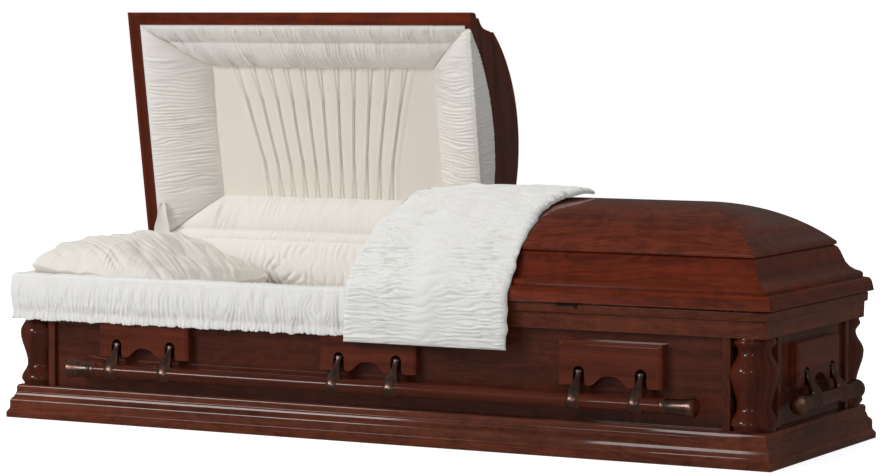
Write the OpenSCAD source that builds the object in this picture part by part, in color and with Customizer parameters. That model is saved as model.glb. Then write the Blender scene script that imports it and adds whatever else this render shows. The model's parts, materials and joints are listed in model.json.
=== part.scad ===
// Half-couch hardwood casket: moulded base, panelled body with turned corner columns,
// swing-bar handles, two hinged lids and an upholstered interior.
// Head end at -X, foot end at +X, hinges at +Y, underside at z = 0.

/* [Overall size] */
// Length over the base moulding
length = 2130; // [2100:10:2200]
// Width over the base moulding
width = 680; // [670:10:720]
// Height of the base moulding
base_h = 85; // [80:1:90]
// Height of the underside of the body rim
rim_z = 300; // [296:1:304]
// Height of the top of the body rim
body_top = 362; // [360:1:363]

/* [Lids] */
// Height of the underside of the closed lids
lid_z = 365; // [364:1:366]
// Height of the underside of the arched crown
crown_z = 481; // [480:1:484]
// Height of the top of the arched crown
crown_top = 592; // [580:1:600]
// Angle by which the head lid stands open
lid_open = 81; // [60:1:85]
// Place of the split between the two lids, along the length
split_x = -5; // [-20:1:20]
// Gap between the two lids
split_gap = 3; // [2:1:6]
// Thickness of the crown and the lid headers
crown_t = 16; // [12:1:20]
// Thickness of the header board at the cut end of each lid
header_t = 18; // [14:1:22]

/* [Body] */
// Thickness of the side and end panels
panel_t = 20; // [16:1:22]
// Thickness of the walls of each corner post
post_t = 20; // [18:1:24]
// Thickness of the lining cloth with its padding
lining_t = 12; // [8:1:16]
// Height of the top of the mattress
bed_z = 280; // [260:5:290]
// Thickness of the mattress
bed_t = 80; // [60:5:100]

/* [Handles] */
// Radius of the wooden bar
bar_r = 17.5; // [16:0.5:19]
// Height of the bar's centre line
bar_z = 138; // [134:1:142]
// Height of the pins that the arms swing on
pin_z = 203; // [201:1:204]
// Distance of the pins from the panel
pin_out = 20; // [19:1:22]
// Distance of the bar's centre line from the panel
bar_out = 45; // [43:1:50]
// Half the distance between the two arms on a plaque
arm_x = 80; // [70:1:90]
// Distance from the middle of a long side to the middle of an outer plaque
plaque_x = 651; // [600:1:670]

/* [Hidden] */
$fn = 64;
half_l = length / 2;
half_w = width / 2;
far = length + 200;

// Distances inwards from the outline of the base
post_face = 30;
post_side = 134;
notch_side = post_side - post_t;
panel_face = 40;
wall_in = panel_face + panel_t;
column_axis = (post_face + notch_side) / 2 - 1;
crown_edge = 77;
lid_edge = 6;

panel_y = half_w - panel_face;
panel_x = half_l - panel_face;

// Hinge line of both lids
hinge_y = half_w + 4;
hinge_z = lid_z + 12;
hinge_pin_r = 2.5;
hinge_eye_r = hinge_pin_r + 0.06;
knuckle_r = 5.5;
knuckle_l = 30;
hinge_half = 1.5 * knuckle_l;
head_hinges = [-900, -515, -130];
foot_hinges = [130, 515, 900];

// Arched crown
crown_half = half_w - crown_edge;
crown_lip = 7;
crown_rise = crown_top - crown_z - crown_lip;
crown_r = (pow(crown_half, 2) + pow(crown_rise, 2)) / (2 * crown_rise);
crown_c = crown_top - crown_r;
crown_wall = 20;

// Turned column: share of its height and radius at each turn
column_turns = [[0, 50], [0.07, 57.5], [0.25, 41.5], [0.63, 59.5], [0.85, 39.5], [0.95, 50.5], [1, 47]];
column_steps = 6;

// Plaque and handle parts
plaque_half = 134;
plaque_low = 170;
plaque_high = 276;
plaque_t = 24;
bevel_w = 8;
bevel_d = 4;
slot_r = 14;
slot_top = 216;
arch_half = 52;
arch_h = 25;
pin_r = 3;
pin_gap = 0.08;
eye_r = 6.2;
eye_half = 7;
ear_t = 4;
ear_gap = 0.5;
collar_r = 22;
collar_half = 21;
strap_t = 8;
arm_l = sqrt(pow(bar_out - pin_out, 2) + pow(pin_z - bar_z, 2));
arm_tilt = atan2(bar_out - pin_out, pin_z - bar_z);
tip_l = 87;
long_bar = 787;
bar_slide = 9;
short_bar = 104;
long_arms = [for (c = [-1, 0, 1], s = [-1, 1]) c * plaque_x + s * arm_x];
short_arms = [-arm_x, arm_x];

// Soft parts
apron_gap = 1.2;
rim_gap = 0.4;
apron_t = 8;
apron_low = 257;
throw_gap = 1;
throw_t = 7;
throw_low = 247;
apron_end = -52;
apron_film = 1.9;
throw_right = 392;
throw_back = 150;
bolster_x = 145;
bolster_y = 130;
bolster_edge = 13;
header_rise = 97;
lining_top = 484;
lining_low = lid_z + 2;
head_panel_z = 474;
pillow_x = [-988, -585];
pillow_half = 245;
pillow_h = 187;
floor_t = 19;
frame_bar = 25;
pillow_steps = 14;

// Profiles: [distance outwards from the base outline, height], from the bottom up
base_profile = [
  [0, 0], [0, 13], [-2, 17], [-6, 22], [-7, 28], [-7, 43], [-9, 48], [-15, 54],
  [-17, 59], [-17.5, 62], [-20, 66], [-20, base_h - 6], [-22, base_h - 1.5], [-26, base_h]
];
rim_lower_profile = [[-25, rim_z], [-24, rim_z + 38], [-25, rim_z + 39]];
rim_upper_profile = [[-20, rim_z + 39], [-18, rim_z + 41], [-17, body_top - 2], [-19, body_top]];
lid_profile = [
  [-lid_edge, lid_z], [-10, lid_z + 22], [-12.5, lid_z + 29], [-17, lid_z + 33], [-28, lid_z + 35],
  [-26.5, lid_z + 39], [-28, lid_z + 45], [-32, lid_z + 49], [-42, lid_z + 53], [-52, lid_z + 61],
  [-60, lid_z + 72], [-65, lid_z + 85], [-70, lid_z + 99], [-75, lid_z + 109], [-84, crown_z]
];
lid_inner_profile = [
  [-40, lid_z - 5], [-40, lid_z + 35], [-60, lid_z + 60], [-84, lid_z + 90],
  [-crown_edge - crown_wall, lid_z + 110], [-crown_edge - crown_wall, crown_z + 20]
];

function outline(half, profile) = concat(
  [for (p = profile) [half + p[0], p[1]]],
  [for (i = [len(profile) - 1:-1:0]) [-half - profile[i][0], profile[i][1]]]
);
function inset(profile, by) = [for (p = profile) [p[0] - by, p[1]]];
function eased(a, b, t) = a + (b - a) * (1 - cos(180 * t)) / 2;

// Extrusions along the length and across the width, standing in the right plane
module along_x(x0, x1) {
  translate([x0, 0, 0]) rotate([90, 0, 90]) linear_extrude(x1 - x0) children();
}
module along_y(y0, y1) {
  translate([0, y1, 0]) rotate([90, 0, 0]) linear_extrude(y1 - y0) children();
}

// Block with the same profile on all four sides, mitred at the corners
module mitred(profile) {
  intersection() {
    along_x(-far / 2, far / 2) polygon(outline(half_w, profile));
    along_y(-far / 2, far / 2) polygon(outline(half_l, profile));
  }
}

// Plan of the hollow between the panels, with the corner posts left out of it
module well(side, corner) {
  square([length - 2 * side, width - 2 * corner], center = true);
  square([length - 2 * corner, width - 2 * side], center = true);
}
module well_block(side, corner, z0, z1) {
  translate([0, 0, z0]) linear_extrude(z1 - z0) well(side, corner);
}
module slab(x0, x1, z0, z1) {
  translate([x0, -far / 2, z0]) cube([x1 - x0, far, z1 - z0]);
}

// ---- body -------------------------------------------------------------------------------

module base_moulding() {
  color("#4a1c12") difference() {
    mitred(base_profile);
    well_block(wall_in, post_side, -10, base_h + 10);
  }
}

module floor_board() {
  color("#6b4a35") well_block(wall_in, post_side, 0, floor_t);
}

module long_panel(side) {
  color("#431d16") translate([0, side * (panel_y - panel_t / 2), base_h])
    linear_extrude(rim_z - base_h) square([length - 2 * post_side, panel_t], center = true);
}

module end_panel(side) {
  color("#3c1a14") translate([side * (panel_x - panel_t / 2), 0, base_h])
    linear_extrude(rim_z - base_h) square([panel_t, width - 2 * post_side], center = true);
}

// Two boards that meet in an L inside the corner, open outwards for the column
module post(side_x, side_y) {
  color("#4f2118") scale_to_corner(side_x, side_y) translate([0, 0, base_h])
    linear_extrude(rim_z - base_h) difference() {
      translate([-post_side, -post_side]) square(post_side - post_face);
      translate([-notch_side, -notch_side]) square(post_side);
    }
}
module scale_to_corner(side_x, side_y) {
  mirror([side_x < 0 ? 1 : 0, 0, 0]) mirror([0, side_y < 0 ? 1 : 0, 0])
    translate([half_l, half_w, 0]) children();
}

// Turned urn column, cut flat where it meets the two walls of the post
module column(side_x, side_y) {
  height = rim_z - base_h;
  last = len(column_turns) - 1;
  turned = concat(
    [[0, 0]],
    [for (i = [0:last - 1], k = [0:column_steps - 1])
      let (a = column_turns[i], b = column_turns[i + 1], t = k / column_steps)
      [eased(a[1], b[1], t), height * (a[0] + (b[0] - a[0]) * t)]],
    [[column_turns[last][1], height], [0, height]]
  );
  color("#5a2015") scale_to_corner(side_x, side_y) intersection() {
    translate([-column_axis, -column_axis, base_h]) rotate_extrude($fn = 72) polygon(turned);
    translate([-notch_side, -notch_side, base_h]) cube(height * 2);
  }
}

module rim_lower() {
  color("#4a1c12") difference() {
    mitred(rim_lower_profile);
    well_block(wall_in, post_side, rim_z - 10, body_top);
  }
}

module rim_upper() {
  color("#4a1c12") difference() {
    mitred(rim_upper_profile);
    well_block(wall_in, post_side, rim_z, body_top + 10);
  }
}

// Thin steel catch in the gap under the foot lid, with a lever turned down over the rim
module lid_catch() {
  catch_x = 540;
  catch_l = 56;
  catch_t = 2;
  lever_y = -half_w + 14;
  color("#15100e") {
    translate([catch_x - catch_l / 2, lever_y, body_top]) cube([catch_l, 30, catch_t]);
    translate([catch_x - catch_l / 2, lever_y, body_top - 5]) cube([catch_l, 2, 5 + catch_t]);
    translate([catch_x + catch_l / 2 - 8, lever_y, body_top - 11]) cube([5, 2, 11 + catch_t]);
  }
}

// ---- handles ----------------------------------------------------------------------------

// Each side is modelled as the front: panel in the plane y = 0, outwards along -Y
module on_side(angle) {
  rotate([0, 0, angle]) translate([0, angle % 180 == 0 ? -panel_y : -panel_x, 0]) children();
}

module plaque() {
  color("#542116") intersection() {
    along_y(-plaque_t, 0) difference() {
      translate([-plaque_half, plaque_low]) square([2 * plaque_half, plaque_high - plaque_low]);
      for (x = short_arms) translate([x, 0]) {
        translate([0, slot_top - slot_r]) circle(slot_r);
        polygon([[-slot_r - 4, 0], [slot_r + 4, 0], [slot_r, plaque_low + 20],
          [slot_r, slot_top - slot_r], [-slot_r, slot_top - slot_r], [-slot_r, plaque_low + 20]]);
      }
      polygon(concat([for (a = [-180:15:180])
        [arch_half * a / 180, plaque_low + arch_h * (1 + cos(180 * pow(abs(a) / 180, 1.5))) / 2]],
        [[arch_half, 0], [-arch_half, 0]]));
    }
    translate([0, 0, plaque_low]) linear_extrude(far) polygon([
      [-plaque_half, 0], [plaque_half, 0], [plaque_half, bevel_d - plaque_t],
      [plaque_half - bevel_w, -plaque_t], [bevel_w - plaque_half, -plaque_t],
      [-plaque_half, bevel_d - plaque_t]]);
    along_x(-far, far) polygon([[0, 0], [-plaque_t, 0], [-plaque_t, plaque_high - bevel_w],
      [bevel_d - plaque_t, plaque_high], [0, plaque_high]]);
  }
}

// Steel lug in each slot: a plate on the panel, two ears and the pin between them
module lug() {
  plate_t = 3;
  ear_in = eye_half + ear_gap;
  plate_half = ear_in + ear_t;
  translate([-plate_half, -plate_t, plaque_low + 4]) cube([2 * plate_half, plate_t, pin_z - plaque_low]);
  for (s = [-1, 1]) along_x(s > 0 ? ear_in : -plate_half, s > 0 ? plate_half : -ear_in) {
    translate([-pin_out, pin_z]) circle(6);
    translate([-pin_out, pin_z - 6]) square([pin_out - plate_t / 2, 12]);
  }
  along_x(-plate_half, plate_half) translate([-pin_out, pin_z]) circle(pin_r);
}
module lugs(xs) {
  color("#2a1f1b") for (x = xs) translate([x, 0, 0]) lug();
}

module bar(half) {
  color("#5a2316") along_x(-half, half) translate([-bar_out, bar_z]) circle(bar_r);
}

// Cast arm: an eye on the pin, a strap that flares and a collar round the bar
module arm() {
  top = 6;
  foot = arm_l - 10;
  flare = collar_half - eye_half;
  steps = 8;
  right = [for (i = [0:steps]) let (t = i / steps)
    [eye_half + flare * pow(t, 3), -top - (foot - top) * t]];
  left = [for (i = [steps:-1:0]) [-right[i][0], right[i][1]]];
  translate([0, -pin_out, pin_z]) rotate([-arm_tilt, 0, 0]) difference() {
    union() {
      along_y(-strap_t / 2, strap_t / 2) polygon(concat(right, left));
      along_x(-eye_half, eye_half) circle(eye_r);
      along_x(-collar_half, collar_half) translate([0, -arm_l]) circle(collar_r);
    }
    along_x(-far / 2, far / 2) circle(pin_r + pin_gap);
    along_x(-far / 2, far / 2) translate([0, -arm_l]) circle(bar_r);
  }
}
module arms(xs) {
  color("#3a2a24") for (x = xs) translate([x, 0, 0]) arm();
}

// Cast tip on each end of a bar: a collar, a slight waist and a flared round end
module tips(half) {
  profile = [
    [0, 0], [18.5, 0], [19.5, 3], [19.5, 9], [18.5, 12], [18.5, 30], [20, 50],
    [22.5, 68], [24, 78], [23, 83.5], [19, tip_l - 0.5], [0, tip_l]
  ];
  color("#3a2a24") for (s = [-1, 1]) translate([s * half, -bar_out, bar_z])
    rotate([0, s * 90, 0]) rotate_extrude() polygon(profile);
}

// ---- lids -------------------------------------------------------------------------------

function lid_end(side) = split_x + side * split_gap / 2;

// Keeps the part of a full-length lid piece that belongs to one side of the split
module half_lid(side) {
  intersection() {
    children();
    if (side < 0) slab(-far, lid_end(side), 0, far); else slab(lid_end(side), far, 0, far);
  }
}

// Swings the head lid up about the hinge line
module opened() {
  translate([0, hinge_y, hinge_z]) rotate([-lid_open, 0, 0]) translate([0, -hinge_y, -hinge_z])
    children();
}

// Arched and hipped crown shape, smaller by a wall all round when it cuts the hollow
module crown_shape(wall, edge, z0) {
  hip_x = half_l - crown_edge - crown_half;
  intersection() {
    along_x(-far / 2, far / 2) intersection() {
      translate([0, crown_c]) circle(crown_r - wall, $fn = 180);
      translate([edge - crown_half, z0]) square([2 * (crown_half - edge), far]);
    }
    along_y(-far / 2, far / 2) intersection() {
      union() {
        for (s = [-1, 1]) translate([s * hip_x, crown_c]) circle(crown_r - wall, $fn = 180);
        translate([-hip_x, z0]) square([2 * hip_x, crown_top - wall - z0]);
      }
      translate([edge - hip_x - crown_half, z0]) square([2 * (hip_x + crown_half - edge), far]);
    }
  }
}

module lid_moulding(side) {
  color("#4a1c12") half_lid(side) difference() {
    mitred(lid_profile);
    mitred(lid_inner_profile);
  }
}

module lid_crown(side) {
  color("#4f1f14") half_lid(side) difference() {
    crown_shape(0, 0, crown_z);
    crown_shape(crown_t, crown_wall, crown_z - 20);
  }
}

// Stretch of the length taken by the header board at the cut end of a lid
module header_zone(side, play) {
  x = lid_end(side) + side * play;
  slab(min(x, x + side * header_t), max(x, x + side * header_t), lid_z, far);
}

// Arched opening in the header's lower edge, which the lining's end roll fills
module header_arch(play) {
  half = half_w + lid_inner_profile[0][0] - 8 - play;
  rise = header_rise - play;
  r = (pow(half, 2) + pow(rise, 2)) / (2 * rise);
  intersection() {
    along_x(-far / 2, far / 2) translate([0, lid_z + rise - r]) circle(r, $fn = 180);
    slab(-far / 2, far / 2, lid_z - 1, far);
  }
}

// Board that closes the cut end of a lid, inside its moulding and crown
module lid_header(side) {
  color("#431a12") difference() {
    intersection() {
      union() {
        intersection() {
          mitred(lid_inner_profile);
          slab(-far / 2, far / 2, lid_z, crown_z);
        }
        intersection() {
          crown_shape(crown_t, crown_wall, crown_z);
          slab(-far / 2, far / 2, crown_z, far);
        }
      }
      header_zone(side, 0);
    }
    header_arch(0);
  }
}

// Upholstered lining of a lid: sloping rolls on four sides round a sunk panel
module lid_lining(side) {
  near = lid_end(side) + side * (header_t + 1);
  end = side * (half_l + lid_inner_profile[0][0] - 1);
  lo = min(near, end);
  hi = max(near, end);
  wide = half_w + lid_inner_profile[0][0] - 1;
  color("#e6e0d6") difference() {
    union() {
      intersection() {
        mitred(inset(lid_inner_profile, 1));
        slab(lo, hi, lining_low, lining_top);
      }
      intersection() {
        header_arch(1);
        header_zone(side, 1);
        slab(-far / 2, far / 2, lining_low, far);
      }
    }
    intersection() {
      along_x(lo, hi) polygon([
        [bolster_edge - wide, lining_low - 1], [wide - bolster_edge, lining_low - 1],
        [wide - bolster_y, head_panel_z], [bolster_y - wide, head_panel_z]]);
      along_y(-far, far) polygon([
        [lo + bolster_edge, lining_low - 1], [hi - bolster_edge, lining_low - 1],
        [hi - bolster_x, head_panel_z], [lo + bolster_x, head_panel_z]]);
    }
  }
}

// ---- hinges -----------------------------------------------------------------------------

// Body leaf: plate on the rim's back face, and an arm out to two knuckles and the pin
module body_leaf(x) {
  plate_t = 3;
  translate([x, 0, 0]) {
    for (s = [-1, 1])
      along_x(s > 0 ? knuckle_l / 2 : -hinge_half, s > 0 ? hinge_half : -knuckle_l / 2) {
        polygon([
          [half_w - 17, hinge_z - 46], [half_w - 4, hinge_z - 46], [hinge_y + 6, hinge_z - 26],
          [hinge_y + 6, hinge_z], [hinge_y, hinge_z], [hinge_y + 1, hinge_z - 22],
          [half_w - 8, hinge_z - 38], [half_w - 17, hinge_z - 38]]);
        translate([hinge_y, hinge_z]) circle(knuckle_r);
      }
    along_x(-hinge_half, hinge_half) {
      translate([half_w - 17, rim_z + 41]) square([plate_t, body_top - rim_z - 43]);
      translate([hinge_y, hinge_z]) circle(hinge_pin_r);
    }
  }
}

// Lid leaf: plate on the lid's back face and the middle knuckle
module lid_leaf(x) {
  plate_t = 3;
  face = half_w - lid_edge;
  play = 0.4;
  translate([x, 0, 0]) difference() {
    union() {
      along_x(-hinge_half, hinge_half)
        polygon([[face, lid_z + 1], [face + plate_t, lid_z + 1],
          [face + plate_t - 4, lid_z + 22], [face - 4, lid_z + 22]]);
      along_x(play - knuckle_l / 2, knuckle_l / 2 - play) {
        translate([hinge_y, hinge_z]) circle(knuckle_r);
        translate([face, hinge_z - 4]) square([hinge_y - face, 8]);
      }
    }
    along_x(-far / 2, far / 2) translate([hinge_y, hinge_z]) circle(hinge_eye_r);
  }
}

module leaves(xs) {
  color("#6a6157") for (x = xs) lid_leaf(x);
}

// ---- soft parts -------------------------------------------------------------------------

module interior_lining() {
  color("#e9e4db") difference() {
    well_block(wall_in + 0.5, post_side + 0.5, floor_t, body_top - 2);
    well_block(wall_in + lining_t, post_side + lining_t, floor_t - 1, body_top);
  }
}

// Steel bed: two long rails on legs, with slats across
module bed_frame() {
  rail_x = half_l - 110;
  rail_y = 180;
  top = bed_z - bed_t;
  color("#55504b") {
    for (s = [-1, 1]) translate([-rail_x, s * rail_y - frame_bar / 2, top - frame_bar])
      cube([2 * rail_x, frame_bar, frame_bar]);
    for (i = [-3:3]) translate([i * (rail_x - frame_bar) / 3, 0, 0]) {
      translate([-frame_bar / 2, -rail_y, top - frame_bar]) cube([frame_bar, 2 * rail_y, frame_bar]);
      for (s = [-1, 1]) translate([-frame_bar / 2, s * rail_y - frame_bar / 2, floor_t])
        cube([frame_bar, frame_bar, top - floor_t]);
    }
  }
}

module mattress() {
  color("#efeae2") well_block(wall_in + lining_t + 1, post_side + lining_t + 1, bed_z - bed_t, bed_z);
}

// Pillow: crowned along its length and across its width, and let in between the posts
module pillow() {
  long = pillow_x[1] - pillow_x[0];
  crown = [for (i = [0:pillow_steps]) let (t = i / pillow_steps) [t, pow(sin(180 * t), 0.55)]];
  color("#f1ebe2") intersection() {
    well_block(wall_in + lining_t + 1, post_side + lining_t + 1, bed_z, crown_z);
    along_x(pillow_x[0], pillow_x[1]) polygon(
      [for (c = crown) [pillow_half * (2 * c[0] - 1), bed_z + pillow_h * c[1]]]);
    along_y(-pillow_half, pillow_half) polygon(
      [for (c = crown) [pillow_x[0] + long * c[0], bed_z + pillow_h * c[1]]]);
  }
}

// Gathered cloth that hangs over the rim at the front and round the head end
module apron() {
  inner = 17 - apron_gap;
  outer = inner - apron_t;
  top = body_top + rim_gap;
  x0 = outer - half_l;
  x1 = apron_end;
  y0 = outer - half_w;
  film = top + apron_film;
  color("#f2efe9") {
    translate([x0, y0, apron_low]) cube([x1 - x0, apron_t, film - apron_low]);
    translate([x0, y0, apron_low]) cube([apron_t, 2 * half_w - 100, film - apron_low]);
    translate([x0, y0, top]) cube([x1 - x0, wall_in - outer, apron_film]);
    translate([x0, y0, top]) cube([wall_in - outer, 2 * half_w - 100, apron_film]);
  }
}

// Section of the throw: over the crown, down to the lid's lower edge and below the rim
function throw_line(g) = concat(
  [for (y = [throw_back:-25:-250]) [y, crown_c + sqrt(pow(crown_r + g, 2) - y * y)]],
  [[-crown_half - g, crown_z + crown_lip + g / 2], [-crown_half - g - 1, crown_z],
   [g / 3 - half_w + 8 - g, lid_z + 32], [-half_w + lid_edge - g - 0.5, lid_z + 20],
   [-half_w + lid_edge - g - 0.5, throw_low]]
);
module throw_strip() {
  inner = throw_line(throw_gap);
  outer = throw_line(throw_gap + throw_t);
  last = len(outer) - 1;
  color("#f4f2ee") along_x(lid_end(1), throw_right)
    polygon(concat(inner, [for (i = [last:-1:0]) outer[i]]));
}

base_moulding();
floor_board();
long_panel(-1);  // front_panel
long_panel(1);  // back_panel
end_panel(-1);  // head_panel
end_panel(1);  // foot_panel
post(-1, -1);  // post_front_head
post(1, -1);  // post_front_foot
post(-1, 1);  // post_back_head
post(1, 1);  // post_back_foot
column(-1, -1);  // column_front_head
column(1, -1);  // column_front_foot
column(-1, 1);  // column_back_head
column(1, 1);  // column_back_foot
rim_lower();
rim_upper();
lid_catch();
on_side(0) translate([-plaque_x, 0, 0]) plaque();  // plaque_front_head
on_side(0) plaque();  // plaque_front_middle
on_side(0) translate([plaque_x, 0, 0]) plaque();  // plaque_front_foot
on_side(180) translate([plaque_x, 0, 0]) plaque();  // plaque_back_head
on_side(180) plaque();  // plaque_back_middle
on_side(180) translate([-plaque_x, 0, 0]) plaque();  // plaque_back_foot
on_side(-90) plaque();  // plaque_head
on_side(90) plaque();  // plaque_foot
on_side(0) lugs(long_arms);  // lugs_front
on_side(180) lugs(long_arms);  // lugs_back
on_side(-90) lugs(short_arms);  // lugs_head
on_side(90) lugs(short_arms);  // lugs_foot
on_side(0) translate([bar_slide, 0, 0]) bar(long_bar);  // bar_front
on_side(180) bar(long_bar);  // bar_back
on_side(-90) bar(short_bar);  // bar_head
on_side(90) bar(short_bar);  // bar_foot
on_side(0) arms(long_arms);  // arms_front
on_side(180) arms(long_arms);  // arms_back
on_side(-90) arms(short_arms);  // arms_head
on_side(90) arms(short_arms);  // arms_foot
on_side(0) translate([bar_slide, 0, 0]) tips(long_bar);  // tips_front
on_side(180) tips(long_bar);  // tips_back
on_side(-90) tips(short_bar);  // tips_head
on_side(90) tips(short_bar);  // tips_foot
opened() lid_moulding(-1);  // head_lid_moulding
opened() lid_crown(-1);  // head_lid_crown
opened() lid_header(-1);  // head_lid_header
lid_moulding(1);  // foot_lid_moulding
lid_crown(1);  // foot_lid_crown
lid_header(1);  // foot_lid_header
color("#6a6157") for (x = concat(head_hinges, foot_hinges)) body_leaf(x);  // hinge_body_leaves
opened() leaves(head_hinges);  // hinge_head_leaves
leaves(foot_hinges);  // hinge_foot_leaves
opened() lid_lining(-1);  // head_lid_lining
lid_lining(1);  // foot_lid_lining
interior_lining();
bed_frame();
mattress();
pillow();
apron();
throw_strip();  // throw
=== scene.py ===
import json
import math

import bmesh
import bpy
import numpy as np
from mathutils import Matrix, Vector


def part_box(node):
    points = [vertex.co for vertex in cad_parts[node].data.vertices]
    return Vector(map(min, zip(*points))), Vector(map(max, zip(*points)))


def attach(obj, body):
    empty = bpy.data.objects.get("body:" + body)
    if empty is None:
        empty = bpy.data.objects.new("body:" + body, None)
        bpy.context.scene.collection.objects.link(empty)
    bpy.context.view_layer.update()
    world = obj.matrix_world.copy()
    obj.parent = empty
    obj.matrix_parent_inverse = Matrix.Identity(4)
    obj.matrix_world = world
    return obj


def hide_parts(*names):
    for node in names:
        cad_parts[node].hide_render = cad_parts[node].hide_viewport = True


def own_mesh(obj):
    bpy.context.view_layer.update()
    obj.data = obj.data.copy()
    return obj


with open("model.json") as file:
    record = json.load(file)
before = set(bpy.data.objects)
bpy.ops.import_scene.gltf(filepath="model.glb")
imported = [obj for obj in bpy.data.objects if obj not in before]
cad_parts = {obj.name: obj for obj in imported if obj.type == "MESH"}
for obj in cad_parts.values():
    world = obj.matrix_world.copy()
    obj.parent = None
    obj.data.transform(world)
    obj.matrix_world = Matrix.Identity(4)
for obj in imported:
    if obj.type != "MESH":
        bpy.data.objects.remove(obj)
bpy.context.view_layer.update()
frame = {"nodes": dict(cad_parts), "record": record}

# ---- Camera, room and lights -------------------------------------------------------------
# A long lens stands in front of the casket towards its foot end, a little above its middle.
# The casket stands on a pale floor, under broad soft lights.

camera_azimuth = math.radians(28.153)
camera_height = math.radians(4.045)
camera_distance = 8.1125
camera_target = Vector((0.0, 0.0739, 0.474))
camera_back = Vector((math.sin(camera_azimuth) * math.cos(camera_height),
                      -math.cos(camera_azimuth) * math.cos(camera_height),
                      math.sin(camera_height)))
camera_data = bpy.data.cameras.new("camera")
camera_data.sensor_width = 36.0
camera_data.lens = 129.66
camera = bpy.data.objects.new("camera", camera_data)
camera.location = camera_target + camera_distance * camera_back
camera.rotation_euler = camera_back.to_track_quat("Z", "Y").to_euler()
bpy.context.scene.collection.objects.link(camera)
bpy.context.scene.camera = camera
bpy.context.scene.view_settings.view_transform = "Standard"

world = bpy.data.worlds.new("studio")
world.use_nodes = True
bpy.context.scene.world = world
sky = world.node_tree.nodes
sky_links = world.node_tree.links
sky_glow = sky["Background"]
sky_glow.inputs["Color"].default_value = (0.95, 0.97, 1.0, 1.0)
sky_glow.inputs["Strength"].default_value = 0.3
sky_shine = sky.new("ShaderNodeBackground")
sky_shine.inputs["Color"].default_value = (1.0, 0.88, 0.8, 1.0)
sky_shine.inputs["Strength"].default_value = 0.07
sky_seen = sky.new("ShaderNodeBackground")
sky_seen.inputs["Color"].default_value = (1.0, 1.0, 1.0, 1.0)
sky_seen.inputs["Strength"].default_value = 1.0
sky_ray = sky.new("ShaderNodeLightPath")
sky_dim = sky.new("ShaderNodeMixShader")
sky_links.new(sky_ray.outputs["Is Glossy Ray"], sky_dim.inputs[0])
sky_links.new(sky_glow.outputs[0], sky_dim.inputs[1])
sky_links.new(sky_shine.outputs[0], sky_dim.inputs[2])
sky_mix = sky.new("ShaderNodeMixShader")
sky_links.new(sky_ray.outputs["Is Camera Ray"], sky_mix.inputs[0])
sky_links.new(sky_dim.outputs[0], sky_mix.inputs[1])
sky_links.new(sky_seen.outputs[0], sky_mix.inputs[2])
sky_links.new(sky_mix.outputs[0], sky["World Output"].inputs["Surface"])


def soft_light(name, place, aim, size, power, mirrored, tint=(1.0, 1.0, 1.0)):
    data = bpy.data.lights.new(name, "AREA")
    data.shape = "RECTANGLE"
    data.size, data.size_y = size
    data.energy = power
    data.color = tint
    lamp = bpy.data.objects.new(name, data)
    lamp.location = place
    lamp.rotation_euler = (Vector(place) - Vector(aim)).to_track_quat("Z", "Y").to_euler()
    lamp.visible_glossy = mirrored
    bpy.context.scene.collection.objects.link(lamp)


soft_light("key", (-3.6, -4.4, 3.3), (0.0, 0.0, 0.5), (1.1, 1.0), 98, False)
soft_light("overhead", (-0.8, -1.2, 4.2), (0.0, 0.1, 0.3), (2.6, 0.9), 50, False, (1.0, 0.98, 0.95))
soft_light("side", (5.2, -2.4, 2.2), (0.4, 0.0, 0.4), (1.4, 1.4), 25, False)
soft_light("back", (0.0, 4.6, 3.2), (0.0, 0.0, 0.5), (3.5, 1.0), 40, False)
soft_light("window_left", (-4.5, -6.0, 2.9), (0.0, 0.0, 0.3), (1.9, 1.4), 62, True)
soft_light("window_middle", (-1.9, -6.4, 1.15), (0.6, 0.0, 0.3), (0.7, 0.8), 9, True)
soft_light("window_right", (1.9, -6.6, 2.2), (0.6, 0.0, 0.3), (0.45, 0.6), 7, True)
soft_light("window_back", (-4.0, 6.0, 2.2), (0.0, 0.0, 0.3), (1.2, 1.2), 30, True)

floor_mesh = bpy.data.meshes.new("studio_floor")
floor_reach = 60.0
floor_mesh.from_pydata([(-floor_reach, -floor_reach, -0.001), (floor_reach, -floor_reach, -0.001),
                        (floor_reach, floor_reach, -0.001), (-floor_reach, floor_reach, -0.001)],
                       [], [(0, 1, 2, 3)])
floor = bpy.data.objects.new("studio_floor", floor_mesh)
bpy.context.scene.collection.objects.link(floor)
floor_paint = bpy.data.materials.new("floor_paint")
floor_paint.use_nodes = True
floor_nodes, floor_links = floor_paint.node_tree.nodes, floor_paint.node_tree.links
floor_shell = floor_nodes["Principled BSDF"]
floor_shell.inputs["Base Color"].default_value = (0.8, 0.8, 0.8, 1.0)
floor_shell.inputs["Roughness"].default_value = 1.0
floor_shell.inputs["Emission Color"].default_value = (1.0, 1.0, 1.0, 1.0)
floor_ray = floor_nodes.new("ShaderNodeLightPath")
floor_glow = floor_nodes.new("ShaderNodeMath")
floor_glow.operation = "MULTIPLY"
floor_glow.inputs[1].default_value = 0.8
floor_links.new(floor_ray.outputs["Is Camera Ray"], floor_glow.inputs[0])
floor_links.new(floor_glow.outputs[0], floor_shell.inputs["Emission Strength"])
floor_mesh.materials.append(floor_paint)
floor.visible_glossy = False

# ---- Polished woodwork: body, rims, mouldings, posts, columns, plaques, bars, lids -------
# Solid hardwood boards and mitred runs, stained dark cherry and lacquered to a full gloss.
# Each board keeps its own grain direction, and every edge is eased a little.

half_length = 1.065
half_width = 0.34
hinge_line = Vector((0.0, 0.344, 0.377))
head_lid_open = math.radians(-81.0)


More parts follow.
